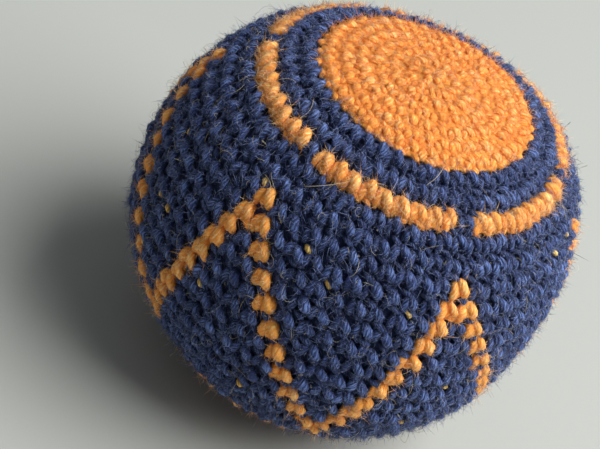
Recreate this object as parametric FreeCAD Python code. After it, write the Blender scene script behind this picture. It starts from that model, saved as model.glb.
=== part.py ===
import FreeCAD, Part
import math, os

# Crocheted juggling ball, all sizes in millimetres.
#
# +Z runs through the centres of the two end caps. The origin is the centre of the
# flat that the filled ball settles on. The cover is worked in the round from the top
# cap to the bottom cap: every round is a band of flats, and the two yarn colours meet
# at whole stitches, so a colour change is a step of one round and one stitch.

# ---------------------------------------------------------------- driving dimensions

# Outline of the filled ball
ball_diameter = 70.0        # across the widest round
crown_height = 33.0         # widest round up to the centre of the top cap
base_depth = 30.0           # widest round down to the resting flat
crown_fullness = 2.5        # superellipse exponent above the widest round, 2 is an ellipse
base_fullness = 2.15        # the same below it
rest_radius = 8.0           # flat that the filled ball settles on

# Crocheted cover
cover_wall = 2.2            # thickness of single crochet in this yarn
cap_round_count = 7         # increase rounds of one end cap
band_round_count = 2        # plain rounds between a cap and its dashed ring
margin_round_count = 2      # plain rounds between a dashed ring and the zigzag
cap_round_height = 2.55     # the increase rounds are worked tightest
band_round_height = 3.2
ring_round_height = 3.1
sectors = 6                 # one increase, one dash and one chevron each
ring_stitches = 10          # stitches per sector in a dashed ring, one of them the gap
field_stitches = 11         # stitches per sector in the middle rounds
stitch_lean = 0.29          # each round sits this much of a stitch aside of the last
pattern_turn = 4.5          # direction of the first chevron's peak, degrees from +X
gap_lead = -1.5             # a dash's gap lies this far from the peak under it, degrees
sector_sides = 10           # flats round the outside, in each sector
start_ring_radius = 1.2     # drawn-up ring in the middle of each cap
start_ring_depth = 0.7      # how far its middle is drawn in

# Liner, its tied neck, and the filling
small_sides = 24            # flats round the small parts at the bag's neck
liner_wall = 0.3            # knitted nylon
neck_radius = 1.1           # gathered nylon above the binding thread
tie_wall = 0.9              # binding thread, several turns thick
tie_height = 1.6
pocket_radius = 3.6         # dimple pressed into the filling by the tied neck
pocket_height = 4.0
tail_radius = 2.6           # gathered end below the thread, spread flat
tail_height = 0.8
neck_gap = 0.3              # clearance round the tied neck

# ---------------------------------------------------------------- outline

OUTLINE_STEPS = 1500        # points per half outline that lengths are measured on
CUT_LIFT = 1.0              # walls between rounds and colours run this far past the cover's faces
AXIS = FreeCAD.Vector(0, 0, 1)

ball_radius = ball_diameter / 2
# the superellipse below the widest round runs on past the flat to this depth
base_apex = base_depth / (1 - (rest_radius / ball_radius) ** base_fullness) ** (1 / base_fullness)


def superellipse(turn, height, fullness):
    """Radius and height on a superellipse, turn 0 at the axis and 1 at the widest round."""
    angle = turn * math.pi / 2
    radius = ball_radius * math.sin(angle) ** (2 / fullness)
    return radius, height * max(math.cos(angle), 0.0) ** (2 / fullness)


def outline_points():
    """Outline as (radius, z), from the top of the axis round to the bottom of the axis."""
    points = []
    for i in range(OUTLINE_STEPS):
        radius, height = superellipse(i / OUTLINE_STEPS, crown_height, crown_fullness)
        points.append((radius, base_depth + height))
    for i in range(OUTLINE_STEPS, 0, -1):
        radius, depth = superellipse(i / OUTLINE_STEPS, base_apex, base_fullness)
        if depth < base_depth:
            points.append((radius, base_depth - depth))
    points.append((rest_radius, 0.0))
    points.append((0.0, 0.0))
    return points


OUTLINE = outline_points()
LENGTHS = [0.0]
for (r0, z0), (r1, z1) in zip(OUTLINE, OUTLINE[1:]):
    LENGTHS.append(LENGTHS[-1] + math.hypot(r1 - r0, z1 - z0))
outline_length = LENGTHS[-1]


def on_outline(length):
    """Point of the outline at a length from the top centre."""
    length = min(max(length, 0.0), outline_length)
    low, high = 0, len(LENGTHS) - 1
    while high - low > 1:
        middle = (low + high) // 2
        if LENGTHS[middle] <= length:
            low = middle
        else:
            high = middle
    share = (length - LENGTHS[low]) / (LENGTHS[high] - LENGTHS[low])
    (r0, z0), (r1, z1) = OUTLINE[low], OUTLINE[high]
    return r0 + (r1 - r0) * share, z0 + (z1 - z0) * share


def inward(length):
    """Unit vector from the outline into the ball, averaged over a stitch's length."""
    reach = cap_round_height / 2
    r0, z0 = on_outline(length - reach)
    r1, z1 = on_outline(length + reach)
    if length <= reach:
        return 0.0, -1.0
    if length >= outline_length - reach:
        return 0.0, 1.0
    size = math.hypot(r1 - r0, z1 - z0)
    return (z1 - z0) / size, -(r1 - r0) / size


# ---------------------------------------------------------------- rounds

cap_length = cap_round_count * cap_round_height
band_length = cap_length + band_round_count * band_round_height
ring_length = band_length + ring_round_height
# the zigzag opens by one stitch a round until the chevrons meet
zigzag_rounds = field_stitches + 1
field_rounds = zigzag_rounds + 2 * margin_round_count
field_round_height = (outline_length - 2 * ring_length) / field_rounds

end_heights = [cap_round_height] * cap_round_count
end_heights += [band_round_height] * band_round_count + [ring_round_height]
heights = end_heights + [field_round_height] * field_rounds + end_heights[::-1]
EDGES = [sum(heights[:i]) for i in range(len(heights) + 1)]   # where each round starts

# boundaries between rounds, counted from the top centre
TOP = 0
CAP_EDGE = cap_round_count
BAND_EDGE = CAP_EDGE + band_round_count
RING_EDGE = BAND_EDGE + 1
ZIGZAG_START = RING_EDGE + margin_round_count
ZIGZAG_END = ZIGZAG_START + zigzag_rounds
LOW_RING_EDGE = ZIGZAG_END + margin_round_count
LOW_BAND_EDGE = LOW_RING_EDGE + 1
LOW_CAP_EDGE = LOW_BAND_EDGE + band_round_count
BOTTOM = LOW_CAP_EDGE + cap_round_count

# The inside of the cover is smooth, so it has a corner only at these boundaries.
INNER_CORNERS = [TOP, CAP_EDGE // 2 + 1, CAP_EDGE, RING_EDGE, ZIGZAG_START + 1,
                 (ZIGZAG_START + ZIGZAG_END) // 2, ZIGZAG_END - 1, LOW_RING_EDGE,
                 LOW_CAP_EDGE, LOW_CAP_EDGE + CAP_EDGE // 2, BOTTOM]


def outer(edge, lift=0.0):
    """Point of the outline where a round starts, lifted out of the surface by lift."""
    radius, z = on_outline(EDGES[edge])
    in_r, in_z = inward(EDGES[edge])
    if edge in (TOP, BOTTOM):
        return 0.0, z - in_z * lift
    return radius - in_r * lift, z - in_z * lift


def inner(edge, depth=cover_wall):
    """Point on the smooth inside at a depth, on the straight line between two corners."""
    below = max(corner for corner in INNER_CORNERS if corner <= edge)
    if below == edge:
        return outer(edge, -depth)
    above = min(corner for corner in INNER_CORNERS if corner > edge)
    share = (EDGES[edge] - EDGES[below]) / (EDGES[above] - EDGES[below])
    (r0, z0), (r1, z1) = outer(below, -depth), outer(above, -depth)
    return r0 + (r1 - r0) * share, z0 + (z1 - z0) * share


def inner_line(depth=cover_wall):
    """Inside of the cover from top to bottom."""
    return [inner(corner, depth) for corner in INNER_CORNERS]


def wall_ends(edge):
    """Two points on the wall between two rounds, CUT_LIFT past both faces of the cover."""
    (out_r, out_z), (in_r, in_z) = outer(edge), inner(edge)
    reach = CUT_LIFT / math.hypot(out_r - in_r, out_z - in_z)
    step_r, step_z = (out_r - in_r) * reach, (out_z - in_z) * reach
    return (in_r - step_r, in_z - step_z), (out_r + step_r, out_z + step_z)


# ---------------------------------------------------------------- flat-sided turning

cover_sides = sectors * sector_sides
bag_sides = cover_sides // 2                # the inside of the cover, and the bag in it


def side_reach(direction, side):
    """How far a flat side reaches in a direction, as a share of its corners' radius."""
    off_middle = direction % side - side / 2
    return math.cos(math.radians(side / 2)) / math.cos(math.radians(off_middle))


def directions(start, sweep, side):
    """A sweep's two ends, with the directions of the flat sides' corners between them."""
    end = start + sweep
    near = 0.001                # a corner this close to an end is that end
    corners = [i * side for i in range(math.floor(start / side), math.ceil(end / side) + 1)]
    return [start] + [corner for corner in corners if start + near < corner < end - near] + [end]


def turned(points, start=0.0, sweep=360.0, sides=cover_sides):
    """Solid round the axis with flat sides, from a closed (radius, z) outline.

    A part of a turn has the same sides as a whole one, so that the two fit."""
    side = 360 / sides
    sections = []
    for direction in directions(start, sweep, side):
        angle = math.radians(direction)
        reach = side_reach(direction, side)
        across = FreeCAD.Vector(math.cos(angle), math.sin(angle), 0) * reach
        sections.append([across * radius + AXIS * z for radius, z in points])
    faces = []
    for one, other in zip(sections, sections[1:]):
        for i in range(len(points)):
            corners = [one[i - 1], one[i]]
            if points[i][0] > 0:
                corners.append(other[i])
            if points[i - 1][0] > 0:
                corners.append(other[i - 1])
            if len(corners) > 2:
                faces.append(Part.Face(Part.makePolygon(corners + corners[:1])))
    if sweep < 360:
        for section in (sections[0], sections[-1]):
            faces.append(Part.Face(Part.makePolygon(section + section[:1])))
    shell = Part.makeShell(faces)
    shell.sewShape()
    solid = Part.makeSolid(shell)
    if solid.Volume < 0:
        solid.reverse()
    return solid.removeSplitter()


def disc(radius, foot, height):
    """Block on the axis with the small parts' flats, standing on foot."""
    top = foot + height
    return turned([(0, foot), (radius, foot), (radius, top), (0, top)], sides=small_sides)


# ---------------------------------------------------------------- cover, end to end

cavity = turned(inner_line(), sides=bag_sides)


def shell_of_rounds(first, last):
    """Part of the cover between two boundaries, one step of the outline per round."""
    outside = [outer(edge) for edge in range(first, last + 1)]
    return turned(outside + [wall_ends(last)[0], wall_ends(first)[0]]).cut(cavity)


def top_end():
    """Cap in the second colour, its middle drawn in where the first stitches meet."""
    outside = [outer(edge) for edge in range(TOP, CAP_EDGE + 1)]
    peak = outside[0][1]
    foot = wall_ends(CAP_EDGE)[0]
    pit = [(0.0, peak - start_ring_depth), (start_ring_radius, peak)]
    return turned(pit + outside[1:] + [foot, (0.0, foot[1])]).cut(cavity)


def bottom_end():
    """The same at the bottom, round the flat that the ball settles on."""
    outside = [outer(edge) for edge in range(LOW_CAP_EDGE, BOTTOM + 1)]
    foot = wall_ends(LOW_CAP_EDGE)[0]
    pit = [(start_ring_radius, 0.0), (0.0, start_ring_depth)]
    return turned(outside[:-1] + pit + [(0.0, foot[1]), foot]).cut(cavity)


def stitches(round_start, first_direction, width):
    """Block one round tall that cuts whole stitches out of the cover.

    first_direction and width are in degrees. The block has the round's own walls."""
    above, below = wall_ends(round_start), wall_ends(round_start + 1)
    return turned([above[1], below[1], below[0], above[0]], first_direction, width)


def one_of(solids):
    """Several touching solids joined into one shape."""
    return solids[0].fuse(solids[1:]).removeSplitter()


sector_turn = 360 / sectors
ring_step = sector_turn / ring_stitches         # one stitch of a dashed ring, degrees
field_step = sector_turn / field_stitches       # one stitch of the middle rounds


def dash_cutter(ring_start, gap_direction):
    """The dashes of one ring: every sector's stitches but one."""
    blocks = []
    for sector in range(sectors):
        start = gap_direction + ring_step / 2 + sector * sector_turn
        blocks.append(stitches(ring_start, start, sector_turn - ring_step))
    return Part.makeCompound(blocks)


def zigzag_cutter():
    """The zigzag: in each round, one stitch of the left leg and one of the right.

    The left legs keep to one column of stitches, which leans. The right legs move one
    column further each round, until they meet the next chevron's left leg."""
    blocks = []
    for step in range(zigzag_rounds):
        work = ZIGZAG_START + step
        left = pattern_turn - field_step / 2 - stitch_lean * field_step * step
        for sector in range(sectors):
            start = left + sector * sector_turn
            if step == 0 or step == zigzag_rounds - 1:
                blocks.append(stitches(work, start, field_step))
            elif step == 1:
                blocks.append(stitches(work, start, 2 * field_step))
            elif step == zigzag_rounds - 2:
                blocks.append(stitches(work, start - field_step, 2 * field_step))
            else:
                blocks.append(stitches(work, start, field_step))
                blocks.append(stitches(work, start + step * field_step, field_step))
    return one_of(blocks)


def lower_and_upper(shape):
    """The two solids that the zigzag leaves of the navy field, by height."""
    return sorted(shape.Solids, key=lambda solid: solid.CenterOfMass.z)


upper_gap = pattern_turn + gap_lead
# the lower ring's gaps sit under the zigzag's lower points
lower_gap = pattern_turn - stitch_lean * field_step * (zigzag_rounds - 1) - gap_lead

upper_dash_blocks = dash_cutter(BAND_EDGE, upper_gap)
lower_dash_blocks = dash_cutter(LOW_RING_EDGE, lower_gap)
zigzag_blocks = zigzag_cutter()

upper_navy = shell_of_rounds(CAP_EDGE, RING_EDGE)
lower_navy = shell_of_rounds(LOW_RING_EDGE, LOW_CAP_EDGE)
middle_navy = shell_of_rounds(RING_EDGE, LOW_RING_EDGE)
lower_field, upper_field = lower_and_upper(middle_navy.cut(zigzag_blocks))

# ---------------------------------------------------------------- liner and filling


def liner_and_filling():
    """Nylon bag against the inside of the cover, and the grain that fills it.

    Round the axis at the bottom both step up over a dimple, where the bag's neck is
    gathered through, bound with thread and tucked flat."""
    floor = inner(BOTTOM)[1]
    below = floor - cover_wall                  # the cuts start outside the bag
    dimple = disc(pocket_radius, below, cover_wall + pocket_height)
    lined_dimple = disc(pocket_radius + liner_wall, below, cover_wall + pocket_height + liner_wall)
    filling = turned(inner_line(cover_wall + liner_wall), sides=bag_sides).cut(lined_dimple)
    tail = disc(tail_radius, floor + neck_gap, tail_height)
    neck = disc(neck_radius, floor + neck_gap, pocket_height - neck_gap + liner_wall)
    bag = cavity.cut(dimple).cut(filling)
    return bag.fuse([tail, neck]), filling


liner_bag, grain_filling = liner_and_filling()


def neck_thread():
    """Turns of thread that bind the gathered neck, seated on its spread tail."""
    foot = inner(BOTTOM)[1] + neck_gap + tail_height
    return disc(neck_radius + tie_wall, foot, tie_height).cut(disc(neck_radius, foot, tie_height))


# ---------------------------------------------------------------- nodes

NODES = {
    "top_cap": top_end(),
    "upper_band": upper_navy.cut(upper_dash_blocks),
    "upper_dashes": upper_navy.common(upper_dash_blocks),
    "upper_field": upper_field,
    "zigzag": middle_navy.common(zigzag_blocks),
    "lower_field": lower_field,
    "lower_dashes": lower_navy.common(lower_dash_blocks),
    "lower_band": lower_navy.cut(lower_dash_blocks),
    "bottom_cap": bottom_end(),
    "liner_bag": liner_bag,
    "neck_thread": neck_thread(),
    "grain_filling": grain_filling,
}

os.makedirs("parts", exist_ok=True)
for name, shape in NODES.items():
    shape.exportStep(f"parts/{name}.step")
    box = shape.BoundBox
    print(f"{name}: {len(shape.Solids)} solids, valid {shape.isValid()}, {shape.Volume:.1f} mm3, "
          f"z {box.ZMin:.2f} to {box.ZMax:.2f}, across {box.XLength:.2f}")
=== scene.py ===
import math

import bpy
import numpy as np
from mathutils import Matrix, Vector


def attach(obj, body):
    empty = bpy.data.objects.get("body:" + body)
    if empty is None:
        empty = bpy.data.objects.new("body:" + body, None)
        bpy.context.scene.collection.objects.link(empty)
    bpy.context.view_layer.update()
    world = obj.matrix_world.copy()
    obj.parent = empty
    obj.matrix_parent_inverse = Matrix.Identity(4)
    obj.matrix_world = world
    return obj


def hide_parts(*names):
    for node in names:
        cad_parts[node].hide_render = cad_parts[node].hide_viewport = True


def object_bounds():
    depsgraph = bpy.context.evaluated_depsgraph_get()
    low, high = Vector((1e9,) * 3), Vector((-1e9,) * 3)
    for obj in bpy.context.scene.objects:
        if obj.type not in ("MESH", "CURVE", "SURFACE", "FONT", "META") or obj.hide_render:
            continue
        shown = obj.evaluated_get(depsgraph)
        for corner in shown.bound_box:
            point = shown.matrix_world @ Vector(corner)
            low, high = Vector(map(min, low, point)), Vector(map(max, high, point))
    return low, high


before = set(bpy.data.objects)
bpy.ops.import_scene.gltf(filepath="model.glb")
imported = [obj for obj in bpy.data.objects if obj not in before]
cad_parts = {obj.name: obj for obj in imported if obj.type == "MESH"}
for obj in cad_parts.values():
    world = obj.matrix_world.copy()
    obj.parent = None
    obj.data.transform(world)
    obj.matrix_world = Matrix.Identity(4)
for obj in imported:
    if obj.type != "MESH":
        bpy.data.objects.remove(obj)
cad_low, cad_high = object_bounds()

# A crocheted juggling ball: a cover of single crochet in two wool yarns, worked in the
# round from the top cap to the bottom cap, over a nylon bag of grain. Metres, +Z up.
# Lengths that follow the yarn are written in millimetres and turned to metres by MM.

MM = 0.001

# ---------------------------------------------------------------- the work, in rounds

SECTORS = 6                     # one increase, one dash and one chevron each
CAP_ROUNDS = 7
BAND_ROUNDS = 2
MARGIN_ROUNDS = 2
FIELD_STITCHES = 11             # per sector, in the widest rounds
RING_STITCHES = 10              # per sector, in a dashed ring
CAP_ROUND_HEIGHT = 2.55         # mm
BAND_ROUND_HEIGHT = 3.2         # mm
RING_ROUND_HEIGHT = 3.1         # mm
STITCH_LEAN = 0.29              # of a stitch, aside from one round to the next
STITCH_SLANT = 0.16             # of a stitch, aside from its top to its foot
PATTERN_TURN = 4.5              # degrees from +X to the first chevron's peak
GAP_LEAD = -0.5                 # degrees from a peak to the dashed ring's gap over it

ZIGZAG_ROUNDS = FIELD_STITCHES + 1
FIELD_ROUNDS = ZIGZAG_ROUNDS + 2 * MARGIN_ROUNDS
END_ROUNDS = CAP_ROUNDS + BAND_ROUNDS + 1
ROUNDS = 2 * END_ROUNDS + FIELD_ROUNDS
ZIGZAG_START = END_ROUNDS + MARGIN_ROUNDS
FIELD_MIDDLE = END_ROUNDS + FIELD_ROUNDS // 2
LOW_RING = END_ROUNDS + FIELD_ROUNDS
LOW_CAP = ROUNDS - CAP_ROUNDS
SECTOR_TURN = 360 / SECTORS
FIELD_STEP = SECTOR_TURN / FIELD_STITCHES

ORANGE_OWNERS = ["top_cap", "upper_dashes", "zigzag", "lower_dashes", "bottom_cap"]
NAVY_OWNERS = ["upper_band", "upper_field", "lower_field", "lower_band"]

# ---------------------------------------------------------------- outline of the ball

BALL_RADIUS = (cad_high[0] - cad_low[0]) / 2
BALL_HEIGHT = cad_high[2] - cad_low[2]
WIDEST = BALL_HEIGHT * 30 / 63          # height of the widest round
MIDDLE = Vector((0, 0, WIDEST))
CROWN_FULLNESS = 2.5
BASE_FULLNESS = 2.15
REST_RADIUS = 8.0 * MM                  # flat that the filled ball settles on
OUTLINE_STEPS = 1200                    # points on each half of the outline


def outline_table():
    """Radius, height and length along the outline, from the top centre to the bottom centre.

    Above the widest round it is a superellipse of exponent CROWN_FULLNESS, and below it
    one of BASE_FULLNESS that the floor cuts off at REST_RADIUS."""
    turn = np.linspace(0, math.pi / 2, OUTLINE_STEPS)
    crown_r = BALL_RADIUS * np.sin(turn) ** (2 / CROWN_FULLNESS)
    crown_z = WIDEST + (BALL_HEIGHT - WIDEST) * np.cos(turn).clip(0) ** (2 / CROWN_FULLNESS)
    apex = WIDEST / (1 - (REST_RADIUS / BALL_RADIUS) ** BASE_FULLNESS) ** (1 / BASE_FULLNESS)
    base_r = BALL_RADIUS * np.sin(turn[::-1]) ** (2 / BASE_FULLNESS)
    base_z = WIDEST - apex * np.cos(turn[::-1]).clip(0) ** (2 / BASE_FULLNESS)
    kept = base_z > 0
    radius = np.concatenate([crown_r, base_r[kept][1:], [REST_RADIUS, 0]])
    height = np.concatenate([crown_z, base_z[kept][1:], [0, 0]])
    length = np.concatenate([[0], np.cumsum(np.hypot(np.diff(radius), np.diff(height)))])
    return radius, height, length


OUT_R, OUT_Z, OUT_S = outline_table()
OUTLINE_LENGTH = OUT_S[-1]

end_heights = [CAP_ROUND_HEIGHT] * CAP_ROUNDS + [BAND_ROUND_HEIGHT] * BAND_ROUNDS
end_heights = np.array(end_heights + [RING_ROUND_HEIGHT]) * MM
field_height = (OUTLINE_LENGTH - 2 * end_heights.sum()) / FIELD_ROUNDS
ROUND_HEIGHT = np.concatenate([end_heights, np.full(FIELD_ROUNDS, field_height), end_heights[::-1]])
ROUND_START = np.concatenate([[0], np.cumsum(ROUND_HEIGHT)])    # along the outline
CAP_EDGE = ROUND_START[CAP_ROUNDS]

SLIP = 1.1                      # mm
SLIP_LOWER = 1.3                # exponent that brings the most slip below the middle
DRIFT = 2.4                     # degrees
DRIFT_START = 95                # degrees
LUMPS = [                       # azimuth, elevation, mm out, degrees wide
    (42, 41, 1.3, 32),
    (-7, -9, -1.3, 30),
    (-33, -35, -0.5, 25),
    (230, -45, -0.7, 28),
    (119, 49, -0.5, 28),
    (182, -3, 0.7, 25),
    (90, -20, 0.8, 35),
    (0, 90, 0.5, 9),
]
LUMPS_FADE = 12 * MM            # height under which the floor presses the lumps away
NORMAL_REACH = 1.3 * MM         # half a stitch, over which the surface's normal is taken
PRESSED = 0.5 * MM              # height under which the yarn is pressed flat


def askew(length, angle):
    """Where the hand-made cover really lies: its rounds slip down the ball between the two
    caps, most below the middle, and its columns drift aside as the sine of the angle."""
    part = ((length - CAP_EDGE) / (OUTLINE_LENGTH - 2 * CAP_EDGE)).clip(0, 1)
    slip = SLIP * MM * np.sin(math.pi * part ** SLIP_LOWER)
    drift = np.radians(DRIFT) * np.sin(angle + np.radians(DRIFT_START)) * np.sin(math.pi * part) ** 0.5
    return length + slip, angle + drift


def fullness(x, y, z):
    """How far the filled ball stands out of, or in from, its even outline, in millimetres:
    a sum of soft lumps, each a Gaussian of the angle from its direction."""
    place = np.stack([x, y, z - WIDEST], axis=-1)
    place = place / np.linalg.norm(place, axis=-1, keepdims=True).clip(MM)
    out = np.zeros(x.shape)
    for around, over, amount, width in LUMPS:
        a, e = math.radians(around), math.radians(over)
        toward = np.array([math.cos(a) * math.cos(e), math.sin(a) * math.cos(e), math.sin(e)])
        off = np.degrees(np.arccos((place @ toward).clip(-1, 1)))
        out = out + amount * np.exp(-(off / width) ** 2)
    return out * (z / LUMPS_FADE).clip(0, 1)


def on_ball(length, angle, lift):
    """Points of the ball: along the outline by length, round the axis by angle in
    radians, and out of the surface by lift. The surface normal is taken over a stitch."""
    length, angle = askew(length, angle)
    radius = np.interp(length, OUT_S, OUT_R)
    height = np.interp(length, OUT_S, OUT_Z)
    over, under = length - NORMAL_REACH, length + NORMAL_REACH
    dr = np.interp(under, OUT_S, OUT_R) - np.interp(np.abs(over), OUT_S, OUT_R) * np.sign(over)
    dz = np.interp(under, OUT_S, OUT_Z) - np.interp(np.abs(over), OUT_S, OUT_Z)
    dr = np.where(under > OUTLINE_LENGTH, -NORMAL_REACH, dr)
    dz = np.where(under > OUTLINE_LENGTH, 0, dz)
    size = np.hypot(dr, dz)
    normal_r, normal_z = -dz / size, dr / size
    lift = lift + fullness(radius * np.cos(angle), radius * np.sin(angle), height) * MM
    out_r = radius + normal_r * lift
    return np.stack([out_r * np.cos(angle), out_r * np.sin(angle), height + normal_z * lift], axis=-1)


def settled(points):
    """Points pressed flat where the ball stands: below PRESSED a height falls off as an
    exponential, so that nothing comes under the floor."""
    z = points[..., 2]
    pressed = np.where(z < PRESSED, PRESSED * np.exp(np.minimum(z / PRESSED - 1, 0)), z)
    return np.concatenate([points[..., :2], pressed[..., None]], axis=-1)


# ---------------------------------------------------------------- meshes

NO_TRIS = np.zeros((0, 3), int)


def mesh_piece(name, points, quads, tris, uv=None, rise=None):
    """Mesh object from numpy points, quads and triangles, smooth, with UVs per point, and
    rise, the millimetres that each point stands out of the ball's even outline."""
    loops = np.concatenate([quads.ravel(), tris.ravel()]).astype(np.int32)
    starts = np.concatenate([np.arange(len(quads)) * 4, len(quads) * 4 + np.arange(len(tris)) * 3])
    mesh = bpy.data.meshes.new(name)
    mesh.vertices.add(len(points))
    mesh.vertices.foreach_set("co", points.astype(np.float32).ravel())
    mesh.loops.add(len(loops))
    mesh.loops.foreach_set("vertex_index", loops)
    mesh.polygons.add(len(starts))
    mesh.polygons.foreach_set("loop_start", starts.astype(np.int32))
    mesh.update(calc_edges=True)
    mesh.polygons.foreach_set("use_smooth", np.ones(len(starts), dtype=bool))
    if uv is not None:
        layer = mesh.uv_layers.new(name="yarn")
        layer.data.foreach_set("uv", uv[loops].astype(np.float32).ravel())
    if rise is not None:
        mesh.attributes.new("rise", "FLOAT", "POINT").data.foreach_set("value", rise.astype(np.float32))
    mesh.validate()
    piece = bpy.data.objects.new(name, mesh)
    bpy.context.scene.collection.objects.link(piece)
    return piece


class Heap:
    """Points, faces, UVs and rise of one piece, gathered from several surfaces.

    skin, outward and along are where its fuzz may grow: points on the outer half of the
    strands, with the directions out of the strand and along it there."""

    def __init__(self):
        self.points, self.quads, self.tris, self.uv, self.rise = [], [], [], [], []
        self.skin, self.outward, self.along = [], [], []
        self.count = 0

    def add(self, points, quads, tris, uv, rise):
        self.points.append(points)
        self.quads.append(quads + self.count)
        self.tris.append(tris + self.count)
        self.uv.append(uv)
        self.rise.append(rise / MM)
        self.count += len(points)

    def piece(self, name):
        parts = (self.points, self.quads, self.tris, self.uv, self.rise)
        return mesh_piece(name, *(np.concatenate(part) for part in parts))


UNEVEN = 0.10                   # spread of a strand's half width, as a part of it
HALF_GIRTH = 1.9                # mm round half of a strand, for its UVs
FROM_END, FROM_SIDE = 60, 40    # mm, how far along and round the yarn's pattern may start


def tubes(heap, centre, up, half_width, half_depth, sides, rng, lift=0.0):
    """Strands of yarn, each a tube that closes to a point at both ends.

    centre and up are (strands, steps, 3) arrays: the centre line, and a direction out of
    the ball. The section is an ellipse, half_width across the surface and half_depth out
    of it, both (strands, steps); the first and last steps are the points at the ends.
    lift, (strands, steps), is how far the centre line lies out of the ball's outline, and
    a point's rise is that and its own height over the centre line. UVs are in millimetres:
    u grows from the strand's foot to its crown on both sides, and v along the strand."""
    along = np.gradient(centre, axis=1)
    along /= np.linalg.norm(along, axis=-1, keepdims=True)
    side = np.cross(along, up)
    side /= np.linalg.norm(side, axis=-1, keepdims=True)
    up = np.cross(side, along)
    count, steps = half_width.shape
    turn = 2 * math.pi * np.arange(sides) / sides
    uneven = rng.normal(1, UNEVEN, (count, steps, sides))
    over_centre = half_depth[..., None] * uneven * np.sin(turn)
    wide = side[:, :, None] * (half_width[..., None] * uneven * np.cos(turn))[..., None]
    deep = up[:, :, None] * over_centre[..., None]
    rings = (centre[:, :, None] + wide + deep)[:, 1:-1]
    inner_steps = steps - 2
    points = np.concatenate([rings.reshape(count, -1, 3), centre[:, :1], centre[:, -1:]], axis=1)

    per = inner_steps * sides + 2
    base = np.arange(count)[:, None, None] * per
    i, j = np.meshgrid(np.arange(inner_steps - 1), np.arange(sides), indexing="ij")
    k = (j + 1) % sides
    quad = np.stack([i * sides + j, i * sides + k, (i + 1) * sides + k, (i + 1) * sides + j], axis=-1)
    j = np.arange(sides)
    k = (j + 1) % sides
    last = (inner_steps - 1) * sides
    head = np.stack([np.full(sides, per - 2), k, j], axis=-1)
    foot = np.stack([np.full(sides, per - 1), last + j, last + k], axis=-1)
    quads = (base + quad.reshape(1, -1, 4)).reshape(-1, 4)
    tris = (base + np.concatenate([head, foot])[None]).reshape(-1, 3)

    run = np.linalg.norm(np.diff(centre, axis=1), axis=-1)
    run = np.concatenate([np.zeros((count, 1)), np.cumsum(run, axis=1)], axis=1) / MM
    start = rng.uniform(0, FROM_END, (count, 1))
    v = (run + start)[:, :, None] + np.zeros(sides)
    u = np.abs(turn / math.pi - 1) * HALF_GIRTH + rng.uniform(0, FROM_SIDE, (count, 1, 1))
    u = u + np.zeros((1, steps, 1))
    uv = np.stack([u[:, 1:-1], v[:, 1:-1]], axis=-1).reshape(count, -1, 2)
    ends = np.stack([u[:, [0, -1], 0], v[:, [0, -1], 0]], axis=-1)
    uv = np.concatenate([uv, ends], axis=1)

    lift = lift + np.zeros((count, steps))
    rise = lift[:, 1:-1, None] + over_centre[:, 1:-1]
    rise = np.concatenate([rise.reshape(count, -1), lift[:, [0, -1]]], axis=1)
    heap.add(settled(points).reshape(-1, 3), quads, tris, uv.reshape(-1, 2), rise.ravel())

    outer = slice(1, sides // 2)
    heap.skin.append(rings[:, 1:-1, outer].reshape(-1, 3))
    heap.outward.append((wide + deep)[:, 2:-2, outer].reshape(-1, 3))
    heap.along.append(np.repeat(along[:, 2:-2], sides // 2 - 1, axis=1).reshape(-1, 3))


def strands(heap, length, angle, lift, half_width, half_depth, sides, rng):
    """Tubes that lie on the ball: length, angle and lift are (strands, steps) arrays."""
    centre = on_ball(length, angle, lift)
    up = on_ball(length, angle, lift + MM) - centre
    tubes(heap, centre, up, half_width, half_depth, sides, rng, lift)


BACKING_SIDES = 132             # two a stitch in the widest rounds
BACKING_STEPS = 3               # a round
BACKING_WALL = 0.75 * MM
UV_RADIUS = 30                  # mm, at which the backing's UVs are in their real size


def backing(heap, first, last, depth):
    """Closed band of the cover under its stitches, from round first to the end of last.

    A grid round the axis: out along the outline at depth, and back one wall deeper."""
    out = np.linspace(ROUND_START[first], ROUND_START[last], BACKING_STEPS * (last - first) + 1)
    length = np.concatenate([out, out[::-1]])[:, None]
    lift = np.repeat([-depth, -depth - BACKING_WALL], len(out))[:, None]
    angle = 2 * math.pi * np.arange(BACKING_SIDES) / BACKING_SIDES
    length, lift, angle = np.broadcast_arrays(length, lift, angle[None])
    rows = len(length)
    i, j = np.meshgrid(np.arange(rows), np.arange(BACKING_SIDES), indexing="ij")
    next_row, next_side = (i + 1) % rows * BACKING_SIDES, (j + 1) % BACKING_SIDES
    row = i * BACKING_SIDES
    quads = np.stack([row + j, next_row + j, next_row + next_side, row + next_side], axis=-1)
    uv = np.stack([angle * UV_RADIUS, length / MM], axis=-1)
    points = settled(on_ball(length, angle, lift))
    heap.add(points.reshape(-1, 3), quads.reshape(-1, 4), NO_TRIS, uv.reshape(-1, 2), lift.ravel())


# ---------------------------------------------------------------- stitches


def stitch_counts():
    """Stitches in each round: six more a round, and even round the middle."""
    end = [SECTORS * (i + 1) for i in range(CAP_ROUNDS + BAND_ROUNDS)] + [SECTORS * RING_STITCHES]
    return np.array(end + [SECTORS * FIELD_STITCHES] * FIELD_ROUNDS + end[::-1])


STITCHES = stitch_counts()


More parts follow.
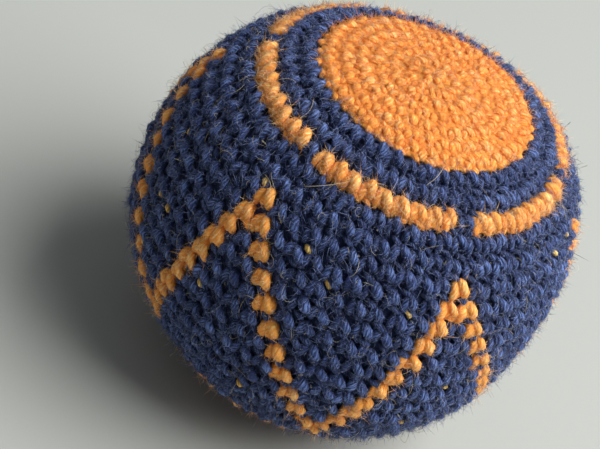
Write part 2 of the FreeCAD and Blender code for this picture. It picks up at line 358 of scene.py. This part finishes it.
def round_offsets():
    """Direction of one stitch of each round, in degrees.

    The middle rounds lean aside evenly. The rings put a gap stitch by a peak, and the
    ends' rounds lean by the same part of a stitch, which is more degrees near the axis."""
    offset = np.zeros(ROUNDS)
    for i in range(END_ROUNDS, LOW_RING):
        offset[i] = PATTERN_TURN - STITCH_LEAN * FIELD_STEP * (i - ZIGZAG_START)
    low_peak = PATTERN_TURN - STITCH_LEAN * FIELD_STEP * (ZIGZAG_ROUNDS - 1)
    offset[END_ROUNDS - 1] = PATTERN_TURN + GAP_LEAD
    offset[LOW_RING] = low_peak - GAP_LEAD
    for i in range(END_ROUNDS - 2, -1, -1):
        offset[i] = offset[i + 1] + STITCH_LEAN * 360 / STITCHES[i]
    for i in range(LOW_RING + 1, ROUNDS):
        offset[i] = offset[i - 1] - STITCH_LEAN * 360 / STITCHES[i]
    return offset


OFFSET = round_offsets()


def whose(index, stitch):
    """Name of the piece that a stitch belongs to, by its round and its place in it."""
    if index < CAP_ROUNDS:
        return "top_cap"
    if index >= LOW_CAP:
        return "bottom_cap"
    if index == END_ROUNDS - 1:
        return "upper_band" if stitch % RING_STITCHES == 0 else "upper_dashes"
    if index == LOW_RING:
        return "lower_band" if stitch % RING_STITCHES == 0 else "lower_dashes"
    if index < END_ROUNDS:
        return "upper_band"
    if index > LOW_RING:
        return "lower_band"
    step = index - ZIGZAG_START
    place = stitch % FIELD_STITCHES
    if step < 0:
        return "upper_field"
    if step >= ZIGZAG_ROUNDS:
        return "lower_field"
    if place == 0 or place == step % FIELD_STITCHES:
        return "zigzag"
    return "upper_field" if place > step else "lower_field"


def stitch_table():
    """For every stitch of the cover: its round, direction in radians, and piece."""
    rows, angles, names = [], [], []
    for index in range(ROUNDS):
        for stitch in range(STITCHES[index]):
            rows.append(index)
            angles.append(math.radians(OFFSET[index] + stitch * 360 / STITCHES[index]))
            names.append(whose(index, stitch))
    return np.array(rows), np.array(angles), np.array(names)


ROW, ANGLE, OWNER = stitch_table()


def loop_owners():
    """The piece that the loops at each stitch's top belong to: the next stitch's, because
    the yarn is changed as a stitch is closed. A lone orange stitch so has navy loops."""
    owner = OWNER.copy()
    for index in range(ROUNDS):
        there = np.flatnonzero(ROW == index)
        after = np.roll(OWNER[there], -1)
        changed = ~np.isin(after, ORANGE_OWNERS)
        owner[there[changed]] = after[changed]
    return owner


LOOP_OWNER = loop_owners()


SWELL, SWELL_ROOT = 3.0, 2.1    # exponents of the superellipse that a strand swells by


def strand_shape(steps, start, end, near, far, crown, head, foot, high, wide, deep, taper=0.0):
    """One strand of a stitch, seen from outside with the top cap up.

    It runs down from start to end, in rounds, and across from near to far, in stitches,
    most of that before the middle, as a quarter of a sine. Its steps are closer at its ends.
    It is highest, crown millimetres out of the outline, at the part high of its way. From
    there it dives by head at its start and by foot at its end, as the square of the part
    of the way. Its half width and half depth, wide and deep in millimetres, swell from its
    ends as a superellipse, and lose the part taper evenly along the way."""
    even = np.linspace(0, 1, steps)
    t = (even + (1 - np.cos(math.pi * even)) / 2) / 2
    edge = np.abs(2 * t - 1)
    swell = (1 - edge ** SWELL) ** (1 / SWELL_ROOT) * (1 - taper * t)
    before, after = (1 - t / high).clip(0), ((t - high) / (1 - high)).clip(0)
    return dict(down=start + (end - start) * t, across=near + (far - near) * np.sin(t * math.pi / 2),
                out=crown - head * before ** 2 - foot * after ** 2, wide=wide * swell, deep=deep * swell)


RIGHT_LEG = strand_shape(8, start=-0.03, end=0.98, near=-0.02, far=0.36, crown=-0.12, head=1.3,
                         foot=1.25, high=0.38, wide=0.80, deep=0.68, taper=0.12)
LEFT_LEG = strand_shape(8, start=0.04, end=1.26, near=-0.12, far=-0.34, crown=-0.42, head=1.0,
                        foot=0.9, high=0.48, wide=0.84, deep=0.66, taper=0.35)
TOP_LOOP = strand_shape(6, start=0.84, end=1.16, near=-0.10, far=0.46, crown=-0.90, head=0.6,
                        foot=0.6, high=0.5, wide=0.56, deep=0.52)
BODY = strand_shape(6, start=0.02, end=1.10, near=-0.06, far=0.06, crown=-0.76, head=0.8,
                    foot=0.8, high=0.5, wide=1.25, deep=0.7)
CARRIED = strand_shape(6, start=0.88, end=1.18, near=-0.16, far=0.14, crown=-0.50, head=0.5,
                       foot=0.5, high=0.5, wide=0.50, deep=0.40)

STITCH_WIDTH = 3.3 * MM         # of a whole stitch, which its strands' thickness is for
PLACE_SPREAD = 0.05             # of a round or a stitch, how far a strand lies from its place
LEAN_SPREAD = 0.14              # how much more or less than its share a strand goes across
SIZE_SPREAD = 0.10              # how much thicker or thinner it is than it should be
LIFT_SPREAD = 0.12 * MM         # how much further in or out
HOLE_REACH = 0.68               # how long the strands round the hole are, beside the others
HOLE_FULLNESS = 1.5             # how much thicker they are, to close it
POLE_CLEARANCE = 0.3 * MM       # that every strand keeps from the axis, along the outline
LEAST_ROOM, MOST_ROOM = 0.3, 1.15       # parts of STITCH_WIDTH that change its thickness


def lay(heap, shape, chosen, sides, rng, relief=1.0, fuller=1.0, reach=1.0, out=0.0):
    """Lays one strand of every chosen stitch, each a little unlike the next.

    relief scales how far a strand stands out and dives, fuller how thick it is and reach
    how long, and out lifts it, in millimetres. A strand in a narrow stitch is thinner, by
    powers of the part of STITCH_WIDTH that it has, and one of low relief is wider and less
    deep, by powers of relief. The stitches of the first and last rounds close a small hole
    with short, thick strands."""
    row, middle = ROW[chosen], ANGLE[chosen]
    count = len(row)
    first = ((row == 0) | (row == ROUNDS - 1))[:, None]
    start, height = ROUND_START[row][:, None], ROUND_HEIGHT[row][:, None]
    pitch = np.radians(360 / STITCHES[row])[:, None]
    down = 0.5 + (shape["down"] - 0.5) * fuller ** 0.7 * reach
    down = down + rng.normal(0, PLACE_SPREAD, (count, 1))
    down = np.where(first, 0.5 + HOLE_REACH * (down - 0.5), down)
    across = shape["across"] * rng.normal(1, LEAN_SPREAD, (count, 1))
    across = across + rng.normal(0, PLACE_SPREAD, (count, 1)) + STITCH_SLANT * (down - 0.5)
    length = (start + down * height).clip(POLE_CLEARANCE, OUTLINE_LENGTH - POLE_CLEARANCE)
    angle = middle[:, None] + across * pitch
    radius = np.interp(length, OUT_S, OUT_R)
    room = np.clip(radius * pitch / STITCH_WIDTH, LEAST_ROOM, MOST_ROOM)
    size = rng.normal(1, SIZE_SPREAD, (count, 1)) * fuller * np.where(first, HOLE_FULLNESS, 1.0)
    wide = shape["wide"] * MM * size * room ** 0.8 * relief ** -0.45
    deep = shape["deep"] * MM * size * room ** 0.3 * relief ** 0.6
    lift = (relief * shape["out"] + out) * MM + rng.normal(0, LIFT_SPREAD, (count, 1)) * relief
    strands(heap, length, angle, lift, wide, deep, sides, rng)


def added(piece, material, stands_for=None):
    """Gives a piece its yarn and tells the frame about it. One that stands for a part of
    the cover hides that part."""
    piece.data.materials.append(material)
    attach(piece, "root")
    if stands_for:
        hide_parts(stands_for)


LEG_SIDES, LOOP_SIDES = 8, 6    # flats round a strand
LOOP_LIFT = 0.22                # mm
PLAIN_REACH = 0.72              # of the legs
# Orange stitches among navy ones hold the navy yarn inside, so they have a body between
# their legs, which reach further and are fuller. Here are that reach and fullness.
AMONG_NAVY = {"upper_dashes": (0.86, 1.22), "zigzag": (0.88, 1.01), "lower_dashes": (0.86, 1.22)}


def cover_piece(name, material, slot, seed, under, relief, depth):
    """All stitches of one part of the cover, with closed bands of the cover under them.

    under lists the bands by their first and last rounds, and depth is how deep they lie,
    in millimetres. The stitches of the first and last rounds have no left leg."""
    rng = np.random.default_rng(seed)
    heap = Heap()
    chosen = np.flatnonzero(OWNER == name)
    reach, fuller = AMONG_NAVY.get(name, (PLAIN_REACH, 1.0))
    two_legged = chosen[(ROW[chosen] > 0) & (ROW[chosen] < ROUNDS - 1)]
    lay(heap, LEFT_LEG, two_legged, LEG_SIDES, rng, relief, fuller, reach)
    lay(heap, RIGHT_LEG, chosen, LEG_SIDES, rng, relief, fuller, reach)
    lay(heap, TOP_LOOP, np.flatnonzero(LOOP_OWNER == name), LOOP_SIDES, rng, relief, out=LOOP_LIFT)
    if name in AMONG_NAVY:
        lay(heap, BODY, chosen, LOOP_SIDES, rng, relief)
    for first, last in under:
        backing(heap, first, last, depth * MM)
    added(heap.piece(name + "_stitches"), material, name)
    return heap


HAIR_SIDES = 3
FUZZ_LENGTH = 1.3 * MM          # the longest
FUZZ_SHORTEST = 0.35            # as a part of the longest
FUZZ_MEAN = 0.45                # the same, of the exponential that gives the lengths
FUZZ_HALF_WIDTH = 0.040 * MM    # real fibres are finer, and this is as fine as shows
FUZZ_ROOT = 0.08 * MM           # how deep in the strand's skin a hair starts
FUZZ_SPREAD = (0.14 * MM, 0.10 * MM)    # of its root, along the strand and aside
FUZZ_OUT = (0.15, 0.9)          # least and most part of its heading that is out of the strand
FUZZ_ALONG, FUZZ_ASIDE = 0.8, 0.75      # spreads of the parts along the strand and aside
FUZZ_BEND = 0.6                 # spread of the bend
FUZZ_DROOP = 0.9                # most that it bends back to the strand


def fuzz(name, material, heap, count, seed):
    """Short hairs that stand off the yarn all over, each a thin tube on the strands' skin.

    A hair starts in the skin, and at t, 0 to 1 along it, has gone length (away t + bend
    t t): away is its heading, partly out of the strand, and bend mostly turns it back."""
    rng = np.random.default_rng(seed)
    pick = rng.integers(0, sum(len(part) for part in heap.skin), count)
    root, outward, along = (np.concatenate(part)[pick] for part in (heap.skin, heap.outward, heap.along))
    outward = outward / np.linalg.norm(outward, axis=-1, keepdims=True)
    side = np.cross(outward, along)
    root = root + rng.normal(0, FUZZ_SPREAD[0], (count, 1)) * along
    root = root + rng.normal(0, FUZZ_SPREAD[1], (count, 1)) * side
    away = outward * rng.uniform(*FUZZ_OUT, (count, 1)) + along * rng.normal(0, FUZZ_ALONG, (count, 1))
    away = away + side * rng.normal(0, FUZZ_ASIDE, (count, 1))
    away = away / np.linalg.norm(away, axis=-1, keepdims=True)
    bend = rng.normal(0, FUZZ_BEND, (count, 3)) - outward * rng.uniform(0, FUZZ_DROOP, (count, 1))
    length = rng.exponential(FUZZ_MEAN, (count, 1, 1)).clip(FUZZ_SHORTEST, 1) * FUZZ_LENGTH
    t = np.array([0, 0.5, 1])[:, None]
    centre = (root - FUZZ_ROOT * outward)[:, None] + length * (away[:, None] * t + bend[:, None] * t * t)
    up = np.cross(away, rng.normal(0, 1, (count, 3)))[:, None] + 0 * t
    swell = np.sqrt(1 - np.abs(2 * t[:, 0] - 1) ** 3)
    thick = rng.uniform(0.5, 1, (count, 1)) * FUZZ_HALF_WIDTH * swell
    hair_heap = Heap()
    tubes(hair_heap, centre, up, thick, thick, HAIR_SIDES, rng)
    added(hair_heap.piece(name), material)


def carried_yarn(name, material, seed, part):
    """The orange yarn where it shows between navy stitches that it is carried inside, at
    the given part of them."""
    rng = np.random.default_rng(seed)
    heap = Heap()
    inside = (ROW >= ZIGZAG_START - 1) & (ROW < ZIGZAG_START + ZIGZAG_ROUNDS - 1)
    there = np.flatnonzero(inside & np.isin(OWNER, NAVY_OWNERS) & (rng.random(len(ROW)) < part))
    lay(heap, CARRIED, there, LOOP_SIDES, rng)
    added(heap.piece(name), material)


HAIR_STEPS = 8
HAIR_MEAN = 0.32                # mean of the exponential that gives their length, as a
HAIR_SHORTEST = 0.08            # part of the longest, and the shortest
HAIR_CURL = (2.2, 1.6)          # radians that a hair turns by, as t and as t squared
HAIR_FOOT = 0.1                 # mm out of the outline
HAIR_RISE = 0.55                # mm, mean of the exponential that gives their rise
HAIR_ARCH = (0.55, 1.0)         # least and most part of a half sine that a hair arches by
HAIR_HALF_WIDTH = (0.014 * MM, 0.027 * MM)
HAIR_ENDS = (0.5 * MM, 2 * MM)  # that they keep from the two ends of the outline


def hairs(name, material, count, seed, longest, owners):
    """Loose hairs of yarn: thin strands that start in a stitch, arch out and bend aside.

    Along a hair, t from 0 to 1, the way it has gone is t times its length, its heading
    turns by curl, a sum of t and t squared, and it stands out by rise times the sine of a
    part of pi t. longest is in millimetres."""
    rng = np.random.default_rng(seed)
    t = np.linspace(0, 1, HAIR_STEPS)
    roots = rng.choice(np.flatnonzero(np.isin(OWNER, owners)), count)
    length = rng.exponential(HAIR_MEAN, (count, 1)).clip(HAIR_SHORTEST, 1) * longest * MM
    curl = rng.normal(0, HAIR_CURL[0], (count, 1)) * t + rng.normal(0, HAIR_CURL[1], (count, 1)) * t ** 2
    heading = rng.uniform(0, 2 * math.pi, (count, 1)) + curl
    stride = length / (HAIR_STEPS - 1)
    down = np.cumsum(np.cos(heading) * stride, axis=1) - np.cos(heading[:, :1]) * stride
    across = np.cumsum(np.sin(heading) * stride, axis=1) - np.sin(heading[:, :1]) * stride
    start = ROUND_START[ROW[roots]] + ROUND_HEIGHT[ROW[roots]] * rng.uniform(0.1, 1.0, count)
    place = np.abs(start[:, None] + down).clip(HAIR_ENDS[0], OUTLINE_LENGTH - HAIR_ENDS[1])
    radius = np.interp(place, OUT_S, OUT_R)
    turn = np.radians(180 / STITCHES[ROW[roots]]) * rng.uniform(-1, 1, count)
    angle = (ANGLE[roots] + turn)[:, None] + across / radius.clip(2 * MM)
    rise = rng.exponential(HAIR_RISE, (count, 1)).clip(0.1, 4 * HAIR_RISE) * MM
    lift = HAIR_FOOT * MM + rise * np.sin(math.pi * t * rng.uniform(*HAIR_ARCH, (count, 1)))
    thick = rng.uniform(*HAIR_HALF_WIDTH, (count, 1)) * np.sqrt(1 - np.abs(2 * t - 1) ** 4)
    heap = Heap()
    strands(heap, place, angle, lift, thick, thick, HAIR_SIDES, rng)
    added(heap.piece(name), material)


LONG_HAIRS = np.array([         # mm along the outline and degrees round it, at both ends
    (30.9, -109.0, 25.6, -97.0),
    (21.9, -73.5, 17.6, -65.5),
])
LONG_HAIR_SAG = 0.4             # mm
LONG_HAIR_FOOT = 0.3            # mm out of the outline at both ends
LONG_HAIR_RISE = 0.7            # mm over that in the middle
LONG_HAIR_HALF_WIDTH = 0.034    # mm
LONG_HAIR_STEPS, LONG_HAIR_SIDES = 16, 4


def long_hairs(name, material, seed):
    """A few long hairs lying across the rounds: each arches off the ball and sags aside as
    the sine of pi t, t from 0 to 1 along it."""
    rng = np.random.default_rng(seed)
    t = np.linspace(0, 1, LONG_HAIR_STEPS)
    arch = np.sin(math.pi * t) + np.zeros((len(LONG_HAIRS), 1))
    length0, angle0, length1, angle1 = LONG_HAIRS.T[:, :, None]
    length = (length0 + (length1 - length0) * t + LONG_HAIR_SAG * arch) * MM
    angle = np.radians(angle0 + (angle1 - angle0) * t)
    lift = (LONG_HAIR_FOOT + LONG_HAIR_RISE * arch) * MM
    thick = LONG_HAIR_HALF_WIDTH * MM * np.sqrt(1 - np.abs(2 * t - 1) ** 8) + 0 * arch
    heap = Heap()
    strands(heap, length, angle, lift, thick, thick, LONG_HAIR_SIDES, rng)
    added(heap.piece(name), material)


# ---------------------------------------------------------------- materials

SUM, PRODUCT = {"operation": "ADD"}, {"operation": "MULTIPLY"}
PRODUCT_AND_SUM, SINE = {"operation": "MULTIPLY_ADD"}, {"operation": "SINE"}
COLOURS = {"data_type": "RGBA"}         # of a Mix node, whose inputs 6 and 7 are its colours


def colour(hex_code):
    """Linear RGBA of an sRGB hex colour."""
    parts = [int(hex_code[i:i + 2], 16) / 255 for i in (1, 3, 5)]
    return [c / 12.92 if c <= 0.04045 else ((c + 0.055) / 1.055) ** 2.4 for c in parts] + [1.0]


def node(tree, kind, settings=None, *values, **named):
    """Adds a node with its settings. Its inputs are given in order, by name, or by number
    as i6, each as a number, a colour or another node's output."""
    made = tree.nodes.new(kind)
    for key, value in (settings or {}).items():
        setattr(made, key, value)
    sockets = [(made.inputs[i], value) for i, value in enumerate(values)]
    for key, value in named.items():
        by_number = key[0] == "i" and key[1:].isdigit()
        sockets.append((made.inputs[int(key[1:])] if by_number else made.inputs[key], value))
    for socket, value in sockets:
        if isinstance(value, bpy.types.NodeSocket):
            tree.links.new(value, socket)
        else:
            socket.default_value = value
    return made


def new_material(name, roughness):
    """Node material of an even roughness, with its node tree and Principled shader."""
    material = bpy.data.materials.new(name)
    material.use_nodes = True
    tree = material.node_tree
    shader = tree.nodes["Principled BSDF"]
    shader.inputs["Roughness"].default_value = roughness
    return material, tree, shader


HAIR_CHANGE = 0.15              # per mm, of the noise that colours single hairs
HAIR_COLOURS = (0.35, 0.65)     # values of the noise at which a hair is dark, and pale
LET_THROUGH = 0.3               # part of the light that comes through a hair


def loose_wool(name, pale, dark):
    """Single hairs of wool that stand off the yarn: thin enough for light to come through,
    so paler than the yarn, and each of its own colour between pale and dark, because a
    hair's UVs start at a random place and the noise changes little along it."""
    material, tree, shader = new_material(name, 0.5)
    yarn = node(tree, "ShaderNodeUVMap", {"uv_map": "yarn"}).outputs["UV"]
    which = node(tree, "ShaderNodeTexNoise", {}, yarn, Scale=HAIR_CHANGE, Detail=0.0)
    part = node(tree, "ShaderNodeMapRange", {}, which.outputs[0], *HAIR_COLOURS)
    mixed = node(tree, "ShaderNodeMix", COLOURS, part.outputs[0], i6=colour(dark), i7=colour(pale))
    tree.links.new(mixed.outputs[2], shader.inputs["Base Color"])
    through = node(tree, "ShaderNodeBsdfTranslucent", {}, mixed.outputs[2])
    both = node(tree, "ShaderNodeMixShader", {}, LET_THROUGH, shader.outputs[0], through.outputs[0])
    tree.links.new(both.outputs[0], tree.nodes["Material Output"].inputs["Surface"])
    return material


PLY_SPACING = 0.62              # mm across a ply
PLY_PITCH = 0.85                # how steeply the plies turn, as the tangent of 40 degrees
HAIR_SPACING = 0.20             # mm; the real hairs are finer, and this is as fine as shows
HAIR_STRETCH = 0.12             # a hair's width over its length, as the pattern draws it
WANDER_SCALE = 0.9              # per mm, how often a ply strays
WANDER = 0.8                    # mm, and how far
PATCH_SCALE = 300.0             # per metre: patches every 3 mm or so where the lightest yarn takes the painted highlight
PLY_SHADE = 0.08                # painted light: how much a ply's crown lightens the pattern of hairs, and so the colour
RISE_SHADE = (-0.09, 0.07)      # painted shade and light: the same for the yarn that lies lowest, and highest
PAINTED_SHADE_RANGE = (0.32, 0.68)             # where in that pattern the colour is deep, the painted shade, and where base
PAINTED_HIGHLIGHT_RANGE = (0.26, 0.60)           # where in the patches it is base, and where it takes the painted highlight
PLY_RELIEF = 0.16               # of the relief, beside the hairs'


def wool(name, base, deep, tip, sheen_tint, sheen, scatter, gloss, low, high, relief):
    """Wool yarn, spun and crocheted: matt, with a soft sheen from its loose hairs.

    base is the colour of the dye. deep is painted shade: the colour where less light gets
    between the plies and hairs, and on yarn that lies low. tip is a painted highlight: the
    colour of hairs that catch the light, in patches on the lightest yarn. The colour runs
    from deep to base across each ply and hair, and as the yarn stands out of the ball from
    low to high, in millimetres. relief is how far its plies and hairs stand out, in
    millimetres, sheen and gloss are how much it shines, and scatter is how much light
    comes through it."""
    material, tree, shader = new_material(name, 0.8 - 0.4 * gloss)
    place = node(tree, "ShaderNodeTexCoord").outputs["Object"]
    yarn = node(tree, "ShaderNodeUVMap", {"uv_map": "yarn"}).outputs["UV"]
    split = node(tree, "ShaderNodeSeparateXYZ", {}, yarn)
    u, v = split.outputs["X"], split.outputs["Y"]

    # millimetres across the plies, which turn round the strand and stray, and along them
    wander = node(tree, "ShaderNodeTexNoise", {}, yarn, Scale=WANDER_SCALE, Detail=1.0)
    strayed = node(tree, "ShaderNodeMath", PRODUCT_AND_SUM, wander.outputs[0], WANDER, u)
    over = node(tree, "ShaderNodeMath", PRODUCT_AND_SUM, v, -PLY_PITCH, strayed.outputs[0])
    along = node(tree, "ShaderNodeMath", PRODUCT_AND_SUM, u, PLY_PITCH, v)
    turns = node(tree, "ShaderNodeMath", PRODUCT, over.outputs[0], 2 * math.pi / PLY_SPACING)
    ply = node(tree, "ShaderNodeMath", SINE, turns.outputs[0])
    hair_over = node(tree, "ShaderNodeMath", PRODUCT, over.outputs[0], 1 / HAIR_SPACING)
    hair_along = node(tree, "ShaderNodeMath", PRODUCT, along.outputs[0], HAIR_STRETCH / HAIR_SPACING)
    hair_place = node(tree, "ShaderNodeCombineXYZ", {}, hair_over.outputs[0], hair_along.outputs[0])
    hair = node(tree, "ShaderNodeTexNoise", {}, hair_place.outputs[0], Scale=1.0, Detail=3.0, Roughness=0.6)

    # colour: painted shade, from deep to base by ply, hair and how far the yarn stands out,
    # and a painted highlight in patches of what is lightest
    ridged = node(tree, "ShaderNodeMath", PRODUCT_AND_SUM, ply.outputs[0], PLY_SHADE, hair.outputs[0])
    # painted shade and light: yarn that lies low is painted darker, and yarn that lies high paler
    rise = node(tree, "ShaderNodeAttribute", {"attribute_name": "rise"}).outputs["Fac"]
    stands = node(tree, "ShaderNodeMapRange", {}, rise, low, high, *RISE_SHADE)
    lit = node(tree, "ShaderNodeMath", SUM, ridged.outputs[0], stands.outputs[0])
    shade = node(tree, "ShaderNodeMapRange", {}, lit.outputs[0], *PAINTED_SHADE_RANGE)
    painted_shade_mix = node(tree, "ShaderNodeMix", COLOURS, shade.outputs[0], i6=colour(deep), i7=colour(base))
    patch = node(tree, "ShaderNodeTexNoise", {}, place, Scale=PATCH_SCALE, Detail=2.0)
    patched = node(tree, "ShaderNodeMath", PRODUCT, patch.outputs[0], shade.outputs[0])
    light = node(tree, "ShaderNodeMapRange", {}, patched.outputs[0], *PAINTED_HIGHLIGHT_RANGE)
    full = node(tree, "ShaderNodeMix", COLOURS, light.outputs[0], i6=painted_shade_mix.outputs[2], i7=colour(tip))
    tree.links.new(full.outputs[2], shader.inputs["Base Color"])

    height = node(tree, "ShaderNodeMath", PRODUCT_AND_SUM, ply.outputs[0], PLY_RELIEF, hair.outputs[0])
    bump = node(tree, "ShaderNodeBump", {}, Strength=1.0, Distance=relief * MM, Height=height.outputs[0])
    tree.links.new(bump.outputs[0], shader.inputs["Normal"])
    shader.inputs["Specular IOR Level"].default_value = gloss
    shader.inputs["Sheen Weight"].default_value = sheen
    shader.inputs["Sheen Roughness"].default_value = 0.5
    shader.inputs["Sheen Tint"].default_value = colour(sheen_tint)
    shader.inputs["Subsurface Weight"].default_value = scatter
    shader.inputs["Subsurface Radius"].default_value = (1.0, 0.5, 0.25)
    shader.inputs["Subsurface Scale"].default_value = 1.0 * MM
    return material


# dyed wool, spun in plies: warm orange that light comes through, nearly without gloss,
# with painted shade in its hollows and on low yarn, and painted highlights on its crowns
orange_wool = wool("orange_wool", base="#FFB65E", deep="#FF963A", tip="#FFD694", sheen_tint="#FFC080",
                   sheen=0.3, scatter=0.3, gloss=0.15, low=-0.3, high=0.5, relief=0.16)
# the same yarn where it is carried between navy stitches: a copy with their shade painted
# in, so duller and darker, besides the painted shade and highlights of all the wool
orange_wool_in_painted_shade = wool("orange_wool_among_navy", base="#E8B458", deep="#A87C30", tip="#F8E0A0",
                    sheen_tint="#FFE0A0", sheen=0.5, scatter=0.3, gloss=0.2, low=-0.8, high=0.0,
                    relief=0.16)
# dyed wool, spun in plies: deep navy, each ply and hair with a glossier crown painted paler
# as a highlight, and painted shade in its hollows and on low yarn
navy_wool = wool("navy_wool", base="#183170", deep="#081A40", tip="#6C87C8", sheen_tint="#A4B4E0",
                 sheen=0.25, scatter=0.0, gloss=0.5, low=-0.7, high=0.5, relief=0.34)

cap_hair = loose_wool("loose_orange_wool_of_caps", pale="#FFCC84", dark="#FF9840")
orange_hair = loose_wool("loose_orange_wool", pale="#FFE4B4", dark="#FFB868")
pale_hair = loose_wool("loose_pale_wool", pale="#F4E8D0", dark="#E4D0A4")
carried_hair = loose_wool("loose_orange_wool_among_navy", pale="#EFE4C4", dark="#A8966A")
navy_hair = loose_wool("loose_navy_wool", pale="#A0AED8", dark="#203062")

# ---------------------------------------------------------------- pieces

# relief of the stitches, and depth of the band of cover under them in mm: the caps are
# worked tightest, so their stitches stand out less and their band lies close under them
PLAIN_WORK = (1.0, 1.35)
TIGHT_WORK = (0.65, 0.32)

for name, hair, hair_count, seed, work, under in (
        ("top_cap", cap_hair, 26000, 11, TIGHT_WORK, [(0, CAP_ROUNDS)]),
        ("upper_dashes", orange_hair, 17000, 13, PLAIN_WORK, []),
        ("zigzag", orange_hair, 19000, 15, PLAIN_WORK, []),
        ("lower_dashes", orange_hair, 9000, 17, PLAIN_WORK, []),
        ("bottom_cap", cap_hair, 11000, 19, TIGHT_WORK, [(LOW_CAP, ROUNDS)])):
    laid = cover_piece(name, orange_wool, "orange_yarn", seed, under, *work)
    fuzz(name + "_fuzz", hair, laid, hair_count, seed + 40)

# the fields have so much fuzz that it is two pieces
for name, hair_count, seed, endings, under in (
        ("upper_band", 16000, 12, ["_fuzz"], (CAP_ROUNDS, END_ROUNDS)),
        ("upper_field", 27000, 14, ["_fuzz", "_fuzz_b"], (END_ROUNDS, FIELD_MIDDLE)),
        ("lower_field", 27000, 16, ["_fuzz", "_fuzz_b"], (FIELD_MIDDLE, LOW_RING)),
        ("lower_band", 11000, 18, ["_fuzz"], (LOW_RING, LOW_CAP))):
    laid = cover_piece(name, navy_wool, "navy_yarn", seed, [under], *PLAIN_WORK)
    for part, ending in enumerate(endings):
        fuzz(name + ending, navy_hair, laid, hair_count, seed + 40 + 20 * part)

carried_yarn("carried_orange_yarn", orange_wool_in_painted_shade, seed=21, part=0.08)
hairs("orange_hairs", pale_hair, count=1500, seed=31, longest=5.0, owners=ORANGE_OWNERS)
hairs("carried_yarn_hairs", carried_hair, count=1500, seed=33, longest=4.0,
      owners=["upper_field", "lower_field"])
long_hairs("long_hairs", pale_hair, seed=37)
hairs("navy_hairs", navy_hair, count=1800, seed=32, longest=6.0, owners=NAVY_OWNERS)


def fine_pattern(name, high, low, kind, settings, roughness, **inputs):
    """Material of a piece that stays out of sight: one pattern in its real size, in
    object coordinates, that runs from the colour low to the colour high."""
    material, tree, shader = new_material(name, roughness)
    place = node(tree, "ShaderNodeTexCoord").outputs["Object"]
    pattern = node(tree, kind, settings, Vector=place, **inputs)
    part = pattern.outputs["Distance" if kind == "ShaderNodeTexVoronoi" else "Fac"]
    mixed = node(tree, "ShaderNodeMix", COLOURS, part, i6=colour(low), i7=colour(high))
    tree.links.new(mixed.outputs[2], shader.inputs["Base Color"])
    return material


# knitted nylon, with a course every 0.6 mm; waxed linen thread, with a ply every 0.8 mm;
# millet, with a grain every 2.2 mm
inside = {
    "liner_bag": fine_pattern("knitted_nylon", "#F0ECE2", "#C4BEB0", "ShaderNodeTexWave",
                              {"bands_direction": "Z"}, 0.5, Scale=520.0, Distortion=0.6),
    "neck_thread": fine_pattern("waxed_linen_thread", "#E4DCC4", "#A89C7C", "ShaderNodeTexWave",
                                {"bands_direction": "DIAGONAL"}, 0.55, Scale=450.0, Distortion=0.3),
    "grain_filling": fine_pattern("millet", "#8A6828", "#E2BE72", "ShaderNodeTexVoronoi",
                                  {"feature": "F1"}, 0.6, Scale=450.0),
}
for name, material in inside.items():
    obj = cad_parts[name]
    obj.data.materials.clear()
    obj.data.materials.append(material)

# ---------------------------------------------------------------- floor, light, camera

FLOOR_HALF = 1.5                # metres, much wider than the view


def floor():
    """Pale matt floor: one square."""
    corners = np.array([[-1, -1, 0], [1, -1, 0], [1, 1, 0], [-1, 1, 0]]) * FLOOR_HALF
    piece = mesh_piece("floor", corners, np.array([[0, 1, 2, 3]]), NO_TRIS)
    material, tree, shader = new_material("pale_floor", 0.7)
    shader.inputs["Base Color"].default_value = colour("#A8AAA4")
    piece.data.materials.append(material)


def lamp(name, place, size, power):
    """Soft square lamp that faces the ball: place and size in metres, power in watts."""
    data = bpy.data.lights.new(name, "AREA")
    data.size = size
    data.energy = power
    lit = bpy.data.objects.new(name, data)
    bpy.context.scene.collection.objects.link(lit)
    lit.location = place
    lit.rotation_euler = (Vector(place) - MIDDLE).to_track_quat("Z", "Y").to_euler()


def room(seen, lighting):
    """The room lights the ball softly, and looks as pale as the floor behind it."""
    world = bpy.data.worlds.new("room")
    bpy.context.scene.world = world
    world.use_nodes = True
    tree = world.node_tree
    walls = tree.nodes["Background"]
    walls.inputs["Color"].default_value = colour("#E6ECF2")
    looked_at = node(tree, "ShaderNodeLightPath").outputs["Is Camera Ray"]
    strength = node(tree, "ShaderNodeMapRange", {}, looked_at, 0.0, 1.0, lighting, seen)
    tree.links.new(strength.outputs[0], walls.inputs["Strength"])


CAMERA_ELEVATION = 37.455       # degrees over the floor, from -Y
CAMERA_ROLL = 28.412            # degrees, so that the cap leans right
CAMERA_DISTANCE = 9.2972        # in the ball's radii, as the next two are
CAMERA_LEFT = 0.2051
CAMERA_LOW = 0.0898


def camera():
    """Long lens over the ball, turned on its side a little, and moved left and down from
    where it would have the ball in the middle of its view."""
    elevation, roll = math.radians(CAMERA_ELEVATION), math.radians(CAMERA_ROLL)
    back = Vector((0, -math.cos(elevation), math.sin(elevation)))
    level_right = Vector((1, 0, 0))
    level_up = back.cross(level_right)
    right = level_right * math.cos(roll) + level_up * math.sin(roll)
    up = back.cross(right)
    data = bpy.data.cameras.new("camera")
    data.lens = 120             # mm, on a sensor 36 mm wide
    data.sensor_width = 36
    data.clip_start = 0.01
    seen = bpy.data.objects.new("camera", data)
    bpy.context.scene.collection.objects.link(seen)
    turn = Matrix((right, up, back)).transposed().to_4x4()
    away = back * CAMERA_DISTANCE - level_right * CAMERA_LEFT - level_up * CAMERA_LOW
    seen.matrix_world = Matrix.Translation(away * BALL_RADIUS + MIDDLE) @ turn
    bpy.context.scene.camera = seen


floor()
lamp("window", place=(0.60, 0.04, 0.86), size=1.0, power=22.5)
room(seen=0.75, lighting=0.27)
camera()
bpy.context.scene.view_settings.view_transform = "Standard"
